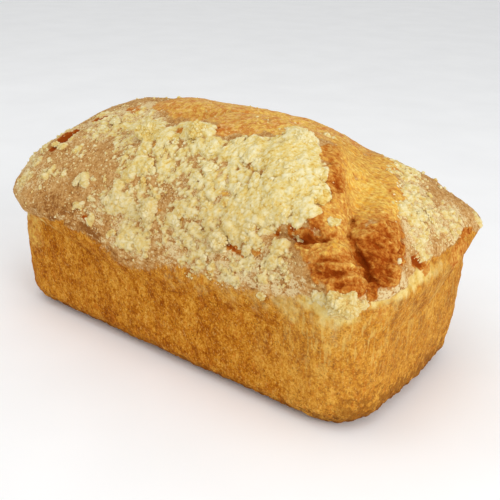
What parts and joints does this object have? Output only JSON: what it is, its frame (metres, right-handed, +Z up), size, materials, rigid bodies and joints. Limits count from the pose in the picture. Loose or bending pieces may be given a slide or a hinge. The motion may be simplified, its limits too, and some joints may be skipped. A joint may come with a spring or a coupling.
{
  "type": "crumble-topped banana bread loaf",
  "caption": "Whole loaf cake with straight tin-baked sides, a domed cracked crown, an overhanging lip and crumble topping.",
  "frame": {"origin": "middle of the flat base, on the surface the loaf stands on", "axes": "+X along the loaf's length, towards the end with the open crack; -Y towards the long side with most of the crumble; +Z up"},
  "size_m": [0.2168, 0.1121, 0.1079],
  "materials": {
    "crust": "matte baked crust, golden brown on the sides, floury tan and deep brown on the crown",
    "crumble": "matte pale yellow crumble"
  },
  "bodies": {
    "root": {"loaf": "crust", "crumble_lump_corner": "crumble", "crumble_lump_crest": "crumble", "crumble_lump_back": "crumble", "crumble_lump_left": "crumble", "crumble_lump_front": "crumble", "crumble_lump_low": "crumble"}
  },
  "joints": []
}
